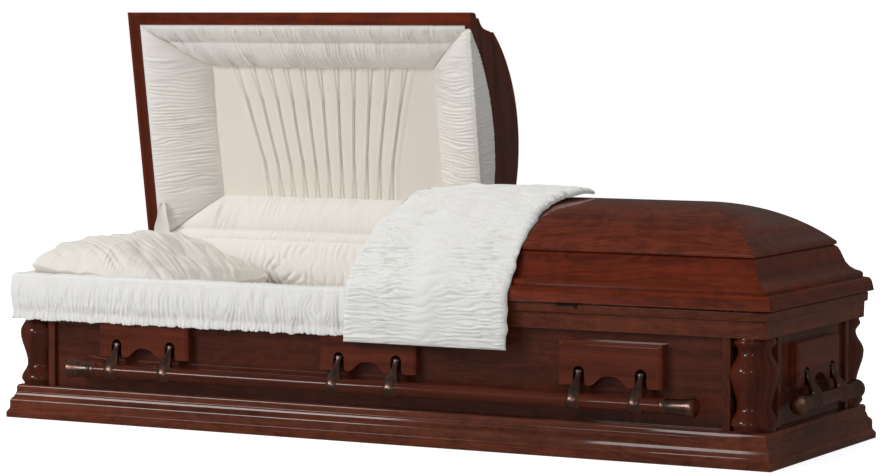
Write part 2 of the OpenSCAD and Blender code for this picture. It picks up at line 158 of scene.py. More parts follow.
def node_group(name, inputs, outputs):
    group = bpy.data.node_groups.new(name, "ShaderNodeTree")
    for label, kind, value in inputs:
        socket = group.interface.new_socket(label, in_out="INPUT", socket_type="NodeSocket" + kind)
        socket.default_value = value
    for label, kind in outputs:
        group.interface.new_socket(label, in_out="OUTPUT", socket_type="NodeSocket" + kind)
    return group, group.nodes.new("NodeGroupInput"), group.nodes.new("NodeGroupOutput")


def stretched(group, vector, along, across):
    scale = group.nodes.new("ShaderNodeVectorMath")
    scale.operation = "MULTIPLY"
    group.links.new(vector, scale.inputs[0])
    scale.inputs[1].default_value = (along, across, 1.0)
    return scale.outputs[0]


def noise(group, vector, detail, rough=0.5, warp=0.0):
    cloud = group.nodes.new("ShaderNodeTexNoise")
    group.links.new(vector, cloud.inputs["Vector"])
    cloud.inputs["Scale"].default_value = 1.0
    cloud.inputs["Detail"].default_value = detail
    cloud.inputs["Roughness"].default_value = rough
    cloud.inputs["Distortion"].default_value = warp
    return cloud.outputs["Fac"]


def calc(group, operation, a, b=None, clamp=False):
    node = group.nodes.new("ShaderNodeMath")
    node.operation = operation
    node.use_clamp = clamp
    for socket, value in zip(node.inputs, (a, b)):
        if value is None:
            continue
        if isinstance(value, (int, float)):
            socket.default_value = value
        else:
            group.links.new(value, socket)
    return node.outputs[0]


grain, grain_in, grain_out = node_group(
    "cherry_grain",
    [("Vector", "Vector", (0, 0, 0)), ("Dark", "Color", (0.03, 0.008, 0.005, 1)),
     ("Light", "Color", (0.14, 0.035, 0.015, 1)), ("Figure", "Float", 0.3)],
    [("Color", "Color"), ("Roughness", "Float"), ("Height", "Float")])
grain_uv = grain_in.outputs["Vector"]
growth = noise(grain, stretched(grain, grain_uv, 1.3, 26.0), 5.0, 0.6, 0.6)
pores = noise(grain, stretched(grain, grain_uv, 14.0, 420.0), 2.0, 0.6)
flame = noise(grain, stretched(grain, grain_uv, 3.2, 7.5), 3.0, 0.55, 2.4)
curl = noise(grain, stretched(grain, grain_uv, 26.0, 6.0), 2.0, 0.5, 0.8)
rings = calc(grain, "SINE", calc(grain, "MULTIPLY", flame, 34.0))
figured = calc(grain, "ADD", calc(grain, "MULTIPLY", rings, 0.18),
               calc(grain, "MULTIPLY", curl, 0.7))
even = calc(grain, "ADD", calc(grain, "MULTIPLY", growth, 1.0),
            calc(grain, "MULTIPLY", calc(grain, "SUBTRACT", pores, 0.5), 0.35))
blend_tone = grain.nodes.new("ShaderNodeMix")
grain.links.new(grain_in.outputs["Figure"], blend_tone.inputs["Factor"])
grain.links.new(even, blend_tone.inputs[2])
grain.links.new(figured, blend_tone.inputs[3])
tone = grain.nodes.new("ShaderNodeMapRange")
grain.links.new(blend_tone.outputs[0], tone.inputs["Value"])
tone.inputs["From Min"].default_value = 0.27
tone.inputs["From Max"].default_value = 0.73
wood_mix = grain.nodes.new("ShaderNodeMix")
wood_mix.data_type = "RGBA"
grain.links.new(tone.outputs[0], wood_mix.inputs["Factor"])
grain.links.new(grain_in.outputs["Dark"], wood_mix.inputs[6])
grain.links.new(grain_in.outputs["Light"], wood_mix.inputs[7])
grain.links.new(wood_mix.outputs[2], grain_out.inputs["Color"])
grain_rough = calc(grain, "ADD", 0.3, calc(grain, "MULTIPLY", pores, 0.15))
grain.links.new(grain_rough, grain_out.inputs["Roughness"])
grain.links.new(pores, grain_out.inputs["Height"])


def finish_from(name, effect, coordinates, relief, depth, **settings):
    """Material that takes its colour, roughness and fine relief from one node group."""
    material = bpy.data.materials.new(name)
    material.use_nodes = True
    nodes, links = material.node_tree.nodes, material.node_tree.links
    shell = nodes["Principled BSDF"]
    place = nodes.new("ShaderNodeTexCoord")
    finish = nodes.new("ShaderNodeGroup")
    finish.node_tree = effect
    for label, value in settings.items():
        finish.inputs[label].default_value = value
    bump = nodes.new("ShaderNodeBump")
    bump.inputs["Strength"].default_value = relief
    bump.inputs["Distance"].default_value = depth
    links.new(place.outputs[coordinates], finish.inputs["Vector"])
    links.new(finish.outputs["Color"], shell.inputs["Base Color"])
    if "Roughness" in finish.outputs:
        links.new(finish.outputs["Roughness"], shell.inputs["Roughness"])
    links.new(finish.outputs["Height"], bump.inputs["Height"])
    links.new(bump.outputs["Normal"], shell.inputs["Normal"])
    return material, shell


def lacquered(name, dark, light, figure, gloss=0.05, coat=1.0):
    material, shell = finish_from(name, grain, "UV", 0.12, 0.0004,
                                  Dark=(*dark, 1.0), Light=(*light, 1.0), Figure=figure)
    shell.inputs["Coat Weight"].default_value = coat
    shell.inputs["Coat Roughness"].default_value = gloss
    shell.inputs["Specular IOR Level"].default_value = 0.15
    return material


body_wood = lacquered("body_wood", (0.046, 0.0105, 0.0055), (0.15, 0.034, 0.016), 0.25)
turned_wood = lacquered("turned_wood", (0.06, 0.0105, 0.005), (0.19, 0.036, 0.014), 0.12)
# Darker copy of the turned wood for the columns and bars: painted shade standing in for their dark
# reflections.
column_wood = lacquered("column_wood", (0.038, 0.0066, 0.0032), (0.125, 0.023, 0.009), 0.12, 0.03)
crown_wood = lacquered("crown_wood", (0.083, 0.013, 0.006), (0.22, 0.042, 0.0165), 0.45)
lid_wood = lacquered("lid_wood", (0.07, 0.0095, 0.0028), (0.215, 0.028, 0.0062), 0.35)
base_wood = lacquered("base_wood", (0.06, 0.0132, 0.0062), (0.215, 0.05, 0.0215), 0.3)
plain_wood = lacquered("plain_wood", (0.28, 0.18, 0.11), (0.48, 0.34, 0.22), 0.1, 0.5, 0.0)


def closed_place(point, body):
    if body != "head_lid":
        return point
    return Matrix.Rotation(-head_lid_open, 4, "X") @ (point - hinge_line) + hinge_line


def lay_grain(mesh, run, body, shift):
    layer = mesh.uv_layers.new(name="grain") if not mesh.uv_layers else mesh.uv_layers[0]
    points = [closed_place(v.co, body) for v in mesh.vertices]
    for face in mesh.polygons:
        middle = sum((points[i] for i in face.vertices), Vector()) / len(face.vertices)
        on_end = half_length - abs(middle.x) < half_width - abs(middle.y)
        for loop in face.loop_indices:
            p = points[mesh.loops[loop].vertex_index]
            if run == "up":
                u, v = p.z, p.x + p.y
            elif run == "across" or (run == "mitred" and on_end):
                u, v = p.y, p.z - abs(p.x)
            else:
                u, v = p.x, p.z - abs(p.y)
            layer.data[loop].uv = (u + shift, v + 0.37 * shift)


def in_body(node):
    for body, names in frame["record"]["behaviour"]["bodies"].items():
        if node in names:
            return body


def dressed(node, material, run, ease=0.0012, sharp=32.0, piece=None):
    source = frame["nodes"][node]
    mesh = source.data.copy()
    mesh.materials.clear()
    work = bmesh.new()
    work.from_mesh(mesh)
    bmesh.ops.remove_doubles(work, verts=work.verts, dist=0.00002)
    bmesh.ops.dissolve_limit(work, angle_limit=math.radians(1.0),
                             verts=work.verts, edges=work.edges)
    bmesh.ops.recalc_face_normals(work, faces=work.faces)
    work.to_mesh(mesh)
    work.free()
    body = in_body(node)
    lay_grain(mesh, run, body, (sum(map(ord, node)) % 97) * 0.31)
    mesh.shade_smooth()
    mesh.set_sharp_from_angle(angle=math.radians(sharp))
    mesh.materials.append(material)
    board = bpy.data.objects.new(piece or node + "_finish", mesh)
    bpy.context.scene.collection.objects.link(board)
    if ease:
        bevel = board.modifiers.new("eased_edges", "BEVEL")
        bevel.width = ease
        bevel.segments = 2
        bevel.limit_method = "ANGLE"
        bevel.angle_limit = math.radians(sharp)
        bevel.harden_normals = True
    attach(board, body)
    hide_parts(node)
    return board


dressed("base_moulding", base_wood, "mitred", 0.0015, 28)
dressed("rim_lower", base_wood, "mitred")
dressed("rim_upper", base_wood, "mitred")
for side in ("front", "back"):
    dressed(side + "_panel", body_wood, "along")
for side in ("head", "foot"):
    dressed(side + "_panel", body_wood, "across")
for corner in ("front_head", "front_foot", "back_head", "back_foot"):
    dressed("post_" + corner, body_wood, "up")
    dressed("column_" + corner, column_wood, "up", 0.0008, 40)
for place in ("front_head", "front_middle", "front_foot", "back_head", "back_middle", "back_foot"):
    dressed("plaque_" + place, turned_wood, "along", 0.0015, 25)
for place in ("head", "foot"):
    dressed("plaque_" + place, turned_wood, "across", 0.0015, 25)
for side, run in (("front", "along"), ("back", "along"), ("head", "across"), ("foot", "across")):
    dressed("bar_" + side, column_wood, run, 0.0008, 50)
for lid in ("head_lid", "foot_lid"):
    dressed(lid + "_moulding", lid_wood, "mitred", 0.0012, 28)
    dressed(lid + "_crown", crown_wood, "mitred", 0.0012, 40)
    dressed(lid + "_header", body_wood, "across")
dressed("floor_board", plain_wood, "along")

# ---- Metalwork: lugs, arms and tips of the handles, hinges, catch and bed frame ----------
# The handles' arms and tips are cast, finished in dark bronze that is rubbed through to
# copper on the high spots. Hinges are dull plated steel, the bed frame is painted grey.

rubbed, rubbed_in, rubbed_out = node_group(
    "rubbed_metal",
    [("Vector", "Vector", (0, 0, 0)), ("Dark", "Color", (0.03, 0.02, 0.017, 1)),
     ("Worn", "Color", (0.5, 0.22, 0.14, 1)), ("Wear", "Float", 0.5)],
    [("Color", "Color"), ("Roughness", "Float"), ("Height", "Float")])
shape_edge = rubbed.nodes.new("ShaderNodeNewGeometry")
smudge = noise(rubbed, stretched(rubbed, rubbed_in.outputs["Vector"], 60.0, 60.0), 4.0, 0.6)
high_spot = rubbed.nodes.new("ShaderNodeMapRange")
rubbed.links.new(calc(rubbed, "ADD", shape_edge.outputs["Pointiness"],
                      calc(rubbed, "MULTIPLY", calc(rubbed, "SUBTRACT", smudge, 0.5), 0.16)),
                 high_spot.inputs["Value"])
high_spot.inputs["From Min"].default_value = 0.5
high_spot.inputs["From Max"].default_value = 0.58
worn = calc(rubbed, "MULTIPLY", high_spot.outputs[0], rubbed_in.outputs["Wear"], clamp=True)
metal_mix = rubbed.nodes.new("ShaderNodeMix")
metal_mix.data_type = "RGBA"
rubbed.links.new(worn, metal_mix.inputs["Factor"])
rubbed.links.new(rubbed_in.outputs["Dark"], metal_mix.inputs[6])
rubbed.links.new(rubbed_in.outputs["Worn"], metal_mix.inputs[7])
rubbed.links.new(metal_mix.outputs[2], rubbed_out.inputs["Color"])
rubbed_rough = calc(rubbed, "ADD", 0.22, calc(rubbed, "MULTIPLY", smudge, 0.16))
rubbed.links.new(rubbed_rough, rubbed_out.inputs["Roughness"])
rubbed.links.new(smudge, rubbed_out.inputs["Height"])


def metal(name, dark, worn_tint, wear, shine=1.0):
    material, shell = finish_from(name, rubbed, "Object", 0.1, 0.0003,
                                  Dark=(*dark, 1.0), Worn=(*worn_tint, 1.0), Wear=wear)
    shell.inputs["Metallic"].default_value = shine
    return material


bronze = metal("bronze", (0.32, 0.21, 0.18), (0.9, 0.47, 0.33), 0.9)
hinge_steel = metal("hinge_steel", (0.3, 0.27, 0.24), (0.5, 0.46, 0.42), 0.4)
bed_steel = metal("bed_steel", (0.25, 0.25, 0.24), (0.35, 0.35, 0.34), 0.4, 0.2)
black_steel = metal("black_steel", (0.012, 0.012, 0.012), (0.05, 0.05, 0.05), 0.3, 0.6)
lug_steel = metal("lug_steel", (0.02, 0.015, 0.013), (0.1, 0.06, 0.04), 0.4)


pin_point = np.array([0.0, -0.020, 0.203])
bar_point = np.array([0.0, -0.045, 0.138])
arm_drop = bar_point - pin_point
arm_length = float(np.linalg.norm(arm_drop))
arm_down = arm_drop / arm_length
arm_out = np.array([0.0, arm_down[2], -arm_down[1]])
eye_radius = 0.0068
hug_radius = 0.0215


def eased(t):
    t = np.clip(t, 0, 1)
    return t * t * (3 - 2 * t)


def arm_mesh(centres, to_place):
    """One casting for each centre: an eye, a flaring strap and a band that hugs the bar."""
    turn = np.linspace(0, np.pi, 60)
    top, foot = -eye_radius, arm_length + hug_radius
    r = 0.5 * (top + foot) - 0.5 * (foot - top) * np.cos(turn)
    eye = np.sqrt(np.clip(eye_radius ** 2 - r ** 2, 0, None))
    hug = np.sqrt(np.clip(hug_radius ** 2 - (r - arm_length) ** 2, 0, None))
    sweep = eased((r - 0.004) / (arm_length - 0.004))
    strap = 0.0062
    front = np.where(r < 0, eye, np.where(r > arm_length, hug, strap + (hug_radius - strap) * sweep))
    back = np.where(r < 0, eye, np.where(r > arm_length, hug, np.maximum(
        0.0055 - 0.0004 * sweep, hug * (r > arm_length - hug_radius))))
    knob = 0.0022 * np.exp(-((r + 0.001) / 0.004) ** 2)
    wide = 0.0072 + knob + 0.0133 * eased((r - 0.008) / (arm_length - 0.016)) ** 1.25
    wide = wide * np.clip(1 - 0.12 * eased((r - arm_length - 0.008) / 0.0135), 0, 1)
    around = np.linspace(0, 2 * np.pi, 40, endpoint=False)
    cx, cy = np.cos(around), np.sin(around)
    square = 0.78
    sx, sy = np.sign(cx) * np.abs(cx) ** square, np.sign(cy) * np.abs(cy) ** square
    half, mid = (front + back) / 2, (front - back) / 2
    shape = (pin_point[None, None] + r[:, None, None] * arm_down
             + (mid[:, None] + half[:, None] * sy)[..., None] * arm_out)
    shape[..., 0] += wide[:, None] * sx
    rows, cols = shape.shape[:2]
    points, faces = [], []
    for centre in centres:
        start = len(points)
        placed = shape + np.array([centre, 0.0, 0.0])
        points.extend(to_place(p) for p in placed.reshape(-1, 3))
        for i in range(rows - 1):
            for k in range(cols):
                m = (k + 1) % cols
                faces.append((start + i * cols + k, start + i * cols + m,
                              start + (i + 1) * cols + m, start + (i + 1) * cols + k))
    return points, faces


def shaped_piece(name, points, faces, material, merge=None, smooth=True):
    """Object made from points and faces, turned outwards; points nearer than merge become one."""
    mesh = bpy.data.meshes.new(name)
    mesh.from_pydata([tuple(p) for p in points], [], faces)
    work = bmesh.new()
    work.from_mesh(mesh)
    if merge:
        bmesh.ops.remove_doubles(work, verts=work.verts, dist=merge)
    bmesh.ops.recalc_face_normals(work, faces=work.faces)
    work.to_mesh(mesh)
    work.free()
    if smooth:
        mesh.shade_smooth()
    mesh.materials.append(material)
    piece = bpy.data.objects.new(name, mesh)
    bpy.context.scene.collection.objects.link(piece)
    return piece


def cast_arms(side, centres, to_place):
    points, faces = arm_mesh(centres, to_place)
    arms = shaped_piece("arms_" + side + "_finish", points, faces, bronze, merge=0.00001)
    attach(arms, in_body("arms_" + side))
    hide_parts("arms_" + side)


arm_half = 0.08
plaque_step = 0.651
panel_y, panel_x = 0.3, 1.025
long_arms = [c * plaque_step + s * arm_half for c in (-1, 0, 1) for s in (-1, 1)]
short_arms = [-arm_half, arm_half]
cast_arms("front", long_arms, lambda p: (p[0], p[1] - panel_y, p[2]))
cast_arms("back", long_arms, lambda p: (-p[0], panel_y - p[1], p[2]))
cast_arms("head", short_arms, lambda p: (p[1] - panel_x, -p[0], p[2]))
cast_arms("foot", short_arms, lambda p: (panel_x - p[1], p[0], p[2]))
for side in ("front", "back", "head", "foot"):
    dressed("tips_" + side, bronze, "along", 0.001, 40)
    dressed("lugs_" + side, lug_steel, "along", 0.0005)
for leaves in ("hinge_body_leaves", "hinge_head_leaves", "hinge_foot_leaves"):
    dressed(leaves, hinge_steel, "along", 0.0005)
dressed("bed_frame", bed_steel, "along", 0.002)
dressed("lid_catch", black_steel, "along", 0.0004)

# ---- Cloth: shared crepe finish and the tools that shape gathered cloth ------------------
# Off-white crepe with a fine crinkled weave, gathered on hidden stitches over thin wadding.

crepe, crepe_in, crepe_out = node_group(
    "crepe_weave",
    [("Vector", "Vector", (0, 0, 0)), ("Cloth", "Color", (0.8, 0.78, 0.74, 1)),
     ("Fold", "Color", (0.7, 0.66, 0.6, 1))],
    [("Color", "Color"), ("Height", "Float")])
crinkle = noise(crepe, stretched(crepe, crepe_in.outputs["Vector"], 420.0, 420.0), 3.0, 0.6)
fall = noise(crepe, stretched(crepe, crepe_in.outputs["Vector"], 9.0, 9.0), 2.0, 0.5)
cloth_mix = crepe.nodes.new("ShaderNodeMix")
cloth_mix.data_type = "RGBA"
crepe.links.new(calc(crepe, "MULTIPLY", fall, 0.35), cloth_mix.inputs["Factor"])
crepe.links.new(crepe_in.outputs["Cloth"], cloth_mix.inputs[6])
crepe.links.new(crepe_in.outputs["Fold"], cloth_mix.inputs[7])
crepe.links.new(cloth_mix.outputs[2], crepe_out.inputs["Color"])
crepe.links.new(crinkle, crepe_out.inputs["Height"])


def crepe_cloth(name, cloth, fold):
    material, shell = finish_from(name, crepe, "Object", 0.25, 0.0005,
                                  Cloth=(*cloth, 1.0), Fold=(*fold, 1.0))
    shell.inputs["Roughness"].default_value = 0.85
    shell.inputs["Specular IOR Level"].default_value = 0.2
    shell.inputs["Sheen Weight"].default_value = 0.15
    return material


lining_cloth = crepe_cloth("lining_cloth", (0.87, 0.835, 0.79), (0.80, 0.755, 0.70))
panel_cloth = crepe_cloth("panel_cloth", (0.88, 0.82, 0.745), (0.82, 0.75, 0.67))
throw_cloth = crepe_cloth("throw_cloth", (0.87, 0.86, 0.83), (0.81, 0.795, 0.755))
bedding_cloth = crepe_cloth("bedding_cloth", (0.84, 0.80, 0.74), (0.77, 0.72, 0.65))

lattice_size = 128
lattices = {}
for seed in range(1, 9):
    lattices[seed] = np.random.RandomState(seed).rand(lattice_size, lattice_size)


def ripple(x, y, seed):
    table = lattices[seed]
    xi, yi = np.floor(x).astype(int), np.floor(y).astype(int)
    fx, fy = x - xi, y - yi
    fx, fy = fx * fx * (3 - 2 * fx), fy * fy * (3 - 2 * fy)
    x0, x1 = xi % lattice_size, (xi + 1) % lattice_size
    y0, y1 = yi % lattice_size, (yi + 1) % lattice_size
    low = table[x0, y0] * (1 - fx) + table[x1, y0] * fx
    high = table[x0, y1] * (1 - fx) + table[x1, y1] * fx
    return (low * (1 - fy) + high * fy) * 2 - 1


def gathers(along, across, pitch, reach, seed):
    """Ridges that repeat along the cloth at the pitch and run across it for the reach."""
    sway = 0.9 * ripple(across / (1.6 * reach), along / (9 * pitch), seed)
    wander = 0.75 * ripple(along / (2.6 * pitch), across / (0.8 * reach), seed)
    pleat = np.abs(np.sin(np.pi * (along / (1.45 * pitch) + wander + 0.6 * sway))) ** 0.75
    fine = np.abs(ripple(along / pitch + sway, across / reach, seed)) ** 0.7
    broad = ripple(along / (2.3 * pitch) + 0.7 * sway + 9, across / (1.4 * reach) + 5, seed + 1)
    strong = 0.7 + 0.5 * ripple(along / (5 * pitch) + 3, across / (0.7 * reach), seed + 1)
    return strong * (0.75 * (2 * pleat - 1.2) + 0.5 * (2 * fine - 1)) + 0.28 * broad


def cloth_piece(name, outer, inner, material, loop=False):
    """Closed piece between an outer and an inner grid; loop joins the first and last rows."""
    rows, cols = outer.shape[:2]
    points = np.concatenate([outer.reshape(-1, 3), inner.reshape(-1, 3)])
    back = rows * cols
    faces = []
    for i in range(rows if loop else rows - 1):
        j = (i + 1) % rows
        for k in range(cols - 1):
            a, b, c, d = i * cols + k, j * cols + k, j * cols + k + 1, i * cols + k + 1
            faces.append((a, b, c, d))
            faces.append((back + a, back + d, back + c, back + b))
        for k, flip in ((0, False), (cols - 1, True)):
            a, b = i * cols + k, j * cols + k
            edge = (a, back + a, back + b, b)
            faces.append(edge[::-1] if flip else edge)
    if not loop:
        for i, flip in ((0, True), (rows - 1, False)):
            for k in range(cols - 1):
                a, b = i * cols + k, i * cols + k + 1
                edge = (a, back + a, back + b, b)
                faces.append(edge[::-1] if flip else edge)
    return shaped_piece(name, points, faces, material)


def opened(points):
    c, s = math.cos(head_lid_open), math.sin(head_lid_open)
    y, z = points[..., 1] - hinge_line.y, points[..., 2] - hinge_line.z
    turned = points.copy()
    turned[..., 1] = hinge_line.y + c * y - s * z
    turned[..., 2] = hinge_line.z + s * y + c * z
    return turned


# ---- Linings of the two lids -------------------------------------------------------------
# Four gathered rolls slope from the lid's rim to a sunk head panel. The long rolls have a
# stitched line along them, and the panel has a fan of tucks, each pinched at two heights.

rim_level = 0.368
panel_level = 0.473
rim_in = 0.0412
roll_long = 0.129
roll_hinge = 0.108
roll_end = 0.157
roll_cut = 0.168
roll_puff = 0.02
gather_pitch = 0.0066
gather_depth = (0.0033, 0.0027, 0.0022, 0.0027)
stitch_at = {0: 0.4, 2: 0.26}
corner_pull = 0.05
cloth_step = 0.0023
cut_x = -0.005


def lid_rolls(name, x_cut, x_end, body):
    x_low, x_high = min(x_cut, x_end), max(x_cut, x_end)
    y_out = half_width - rim_in
    corners_out = [(x_low, -y_out), (x_high, -y_out), (x_high, y_out), (x_low, y_out)]
    y_front, y_hinge = -y_out + roll_long, y_out - roll_hinge
    low_width, high_width = (roll_end, roll_cut) if x_cut > x_end else (roll_cut, roll_end)
    in_low, in_high = x_low + low_width, x_high - high_width
    corners_in = [(in_low, y_front), (in_high, y_front), (in_high, y_hinge), (in_low, y_hinge)]
    across_steps = 36
    v = np.linspace(0, 1, across_steps + 1)
    for side in range(4):
        a0, a1 = np.array(corners_out[side]), np.array(corners_out[(side + 1) % 4])
        b0, b1 = np.array(corners_in[side]), np.array(corners_in[(side + 1) % 4])
        run = np.linalg.norm(a1 - a0)
        steps = int(run / cloth_step)
        u = np.linspace(0, 1, steps + 1)
        uu, vv = np.meshgrid(u, v, indexing="ij")
        outer_line = a0 + (a1 - a0) * uu[..., None]
        inner_line = b0 + (b1 - b0) * uu[..., None]
        flat = outer_line + (inner_line - outer_line) * vv[..., None]
        along = (flat - a0) @ ((a1 - a0) / run)
        width = (roll_long, high_width, roll_hinge, low_width)[side]
        if side in stitch_at:
            seam = stitch_at[side]
            first = np.clip(vv / seam, 0, 1)
            second = np.clip((vv - seam) / (1 - seam), 0, 1)
            lobes = (0.45 * np.abs(np.sin(np.pi * first)) ** 0.6
                     + np.abs(np.sin(np.pi * second)) ** 0.55)
        else:
            lobes = np.abs(np.sin(np.pi * vv)) ** 0.5
        end_gap = np.minimum(uu, 1 - uu) * run
        swell = np.clip(end_gap / corner_pull, 0, 1)
        swell = np.sqrt(swell * (2 - swell))
        fold = gathers(along, vv * width, gather_pitch, 0.07, 1 + side)
        fade = np.clip(np.minimum(vv, 1 - vv) * 14, 0, 1) * (0.35 + 0.65 * swell)
        puff = roll_puff * lobes * (0.45 + 0.55 * swell)
        rise = rim_level + (panel_level - rim_level) * vv ** 1.15
        slope = math.atan2(panel_level - rim_level, width)
        lift = puff + gather_depth[side] * fold * fade
        inward = (inner_line - outer_line)
        inward = inward / np.linalg.norm(inward, axis=2, keepdims=True)
        points = np.concatenate([flat + inward * (lift * math.sin(slope))[..., None],
                                 (rise - lift * math.cos(slope))[..., None]], axis=2)
        under = np.concatenate([flat - inward * 0.004, (rise + 0.006)[..., None]], axis=2)
        under[:, -1, :2] += inward[:, -1] * 0.012
        points, under = (opened(p) if body == "head_lid" else p for p in (points, under))
        roll = cloth_piece(f"{name}_roll_{side + 1}", points, under, lining_cloth)
        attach(roll, body)
        if side == 0:
            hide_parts(name)
    return in_low, in_high, y_front, y_hinge


def head_panel(name, x_low, x_high, y_low, y_high, body):
    margin = 0.008
    x = np.linspace(x_low - margin, x_high + margin, 720)
    y = np.linspace(y_low - margin, y_high + margin, 64)
    xx, yy = np.meshgrid(x, y, indexing="ij")
    down = np.clip((yy - y_low) / (y_high - y_low), 0, 1)
    middle = 0.5 * (x_low + x_high)
    half = 0.5 * (x_high - x_low)
    pinch_high, pinch_low = 0.27, 0.73
    spread = half * np.interp(down, [0, pinch_high, pinch_low, 1], [0.77, 0.69, 0.58, 0.55])
    tucks = 11
    place = (xx - middle) / spread * (tucks - 1) / 2
    nearest = np.clip(np.round(place), -(tucks // 2), tucks // 2)
    gap = spread * 2 / (tucks - 1)
    away = np.abs(place - nearest) * gap
    opening = 0.0125 * np.clip((pinch_high - down) / pinch_high, 0, 1)
    opening += 0.0095 * np.clip((down - pinch_low) / (1 - pinch_low), 0, 1)
    crease = np.exp(-((away - opening) / 0.0016) ** 2)
    closed = np.clip(1 - opening / 0.004, 0, 1)
    within = np.clip((tucks / 2 - np.abs(place)) * 4, 0, 1)
    side_of = place - nearest
    flap = np.clip((np.where(side_of > 0, side_of, side_of + 1.0)) * gap / 0.019, 0, 1) ** 0.8
    fall_off = np.clip(-side_of * gap / 0.0022, 0, 1)
    flap = np.where(side_of < 0, flap * np.minimum(fall_off, 1), flap)
    lip = np.exp(-((side_of * gap + 0.0045) / 0.003) ** 2) * closed
    lift = within * (0.0042 * flap + 0.0022 * lip - 0.0052 * crease * (0.45 + 0.55 * closed))
    lift -= within * 0.0035 * np.clip((opening - away) / 0.002, 0, 1)
    knots = np.exp(-((down - pinch_high) / 0.014) ** 2) + np.exp(-((down - pinch_low) / 0.014) ** 2)
    lift -= 0.0035 * knots * np.exp(-(away / 0.004) ** 2) * within
    lift += 0.0006 * ripple(xx / 0.06, yy / 0.09, 3)
    level = panel_level - 0.004 - 0.003 * np.sin(np.pi * down)
    points = np.stack([xx, yy, level - lift], axis=2)
    under = np.stack([xx, yy, np.full_like(xx, panel_level + 0.004)], axis=2)
    if body == "head_lid":
        points, under = opened(points), opened(under)
    panel = cloth_piece(name, points, under, panel_cloth)
    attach(panel, body)


for lid, x_cut, x_end in (("head_lid", cut_x - 0.0068, -half_length + rim_in),
                          ("foot_lid", cut_x + 0.0068, half_length - rim_in)):
    panel_edges = lid_rolls(lid + "_lining", x_cut, x_end, lid)
    head_panel(lid + "_panel", *panel_edges, lid)

# ---- End of each lining roll in the header's arch ----------------------------------------
# The end roll wraps round the cut end of the lid and is tucked into the arch of the header.

arch_half = half_width - 0.048
arch_rise = 0.096
arch_foot = 0.365
for lid, side, face in (("head_lid", -1, cut_x - 0.0015), ("foot_lid", 1, cut_x + 0.0015)):
    y = np.linspace(-arch_half, arch_half, 300)
    v = np.linspace(0, 1, 24)
    yy, vv = np.meshgrid(y, v, indexing="ij")
    bow = (arch_half ** 2 + arch_rise ** 2) / (2 * arch_rise)
    top = arch_foot + arch_rise - bow + np.sqrt(bow ** 2 - yy ** 2)
    zz = rim_level - 0.002 + (np.maximum(top, rim_level) - rim_level + 0.002) * vv
    fold = gathers(yy, vv * 0.05, 0.0068, 0.05, 5)
    held = np.sin(np.pi * np.clip(vv * 0.9 + 0.06, 0, 1)) ** 0.5
    depth = 0.0032 - 0.0030 * fold * held + 0.004 * (vv > 0.97)
    points = np.stack([np.full_like(yy, face) + side * np.maximum(depth, 0.0), yy, zz], axis=2)
    under = np.stack([np.full_like(yy, face) + side * 0.014, yy, zz], axis=2)
    if lid == "head_lid":
        points, under = opened(points), opened(under)
    cheek = cloth_piece(lid + "_lining_cheek", points, under, lining_cloth)
    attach(cheek, lid)

# ---- Lining of the body ------------------------------------------------------------------
# Cloth gathered down the inside of the panels from the rim to the mattress, all the way round.

well_in = 0.0605
notch_in = 0.1345
well_top = 0.361
well_low = 0.21


def well_outline(inset):
    lx, ly = half_length - inset, half_width - inset
    at_post = notch_in + inset - well_in
    cx, cy = half_length - at_post, half_width - at_post
    corners = [(lx, -cy), (lx, cy), (cx, cy), (cx, ly), (-cx, ly), (-cx, cy), (-lx, cy), (-lx, -cy),
               (-cx, -cy), (-cx, -ly), (cx, -ly), (cx, -cy)]
    points = []
    for a, b in zip(corners, corners[1:] + corners[:1]):
        a, b = np.array(a), np.array(b)
        n = max(int(np.linalg.norm(b - a) / 0.004), 2)
        points.extend(a + (b - a) * t for t in np.arange(n) / n)
    path = np.array(points)
    for smoothing in range(6):
        path = 0.5 * path + 0.25 * (np.roll(path, 1, axis=0) + np.roll(path, -1, axis=0))
    return path


path = well_outline(well_in + 0.004)
step = np.linalg.norm(np.roll(path, -1, axis=0) - path, axis=1)
run = np.concatenate([[0], np.cumsum(step)[:-1]])
tangent = np.roll(path, -1, axis=0) - np.roll(path, 1, axis=0)
tangent /= np.linalg.norm(tangent, axis=1, keepdims=True)
inward = np.stack([-tangent[:, 1], tangent[:, 0]], axis=1)
v = np.linspace(0, 1, 34)
ss, vv = np.meshgrid(run, v, indexing="ij")
fold = gathers(ss, vv * 0.15, 0.014, 0.09, 6)
push = 0.002 + 0.004 * np.sin(np.pi * np.clip(vv, 0, 1)) ** 0.5
push += 0.0028 * fold * np.clip(vv * 12, 0, 1)
plan = path[:, None, :] + inward[:, None, :] * push[..., None]
zz = well_top - (well_top - well_low) * vv
points = np.concatenate([plan, zz[..., None]], axis=2)
behind = np.repeat((path - inward * 0.002)[:, None, :], len(v), axis=1)
under = np.concatenate([behind, zz[..., None]], axis=2)
wall_cloth = cloth_piece("wall_lining", points, under, lining_cloth, loop=True)
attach(wall_cloth, "body")
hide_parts("interior_lining")
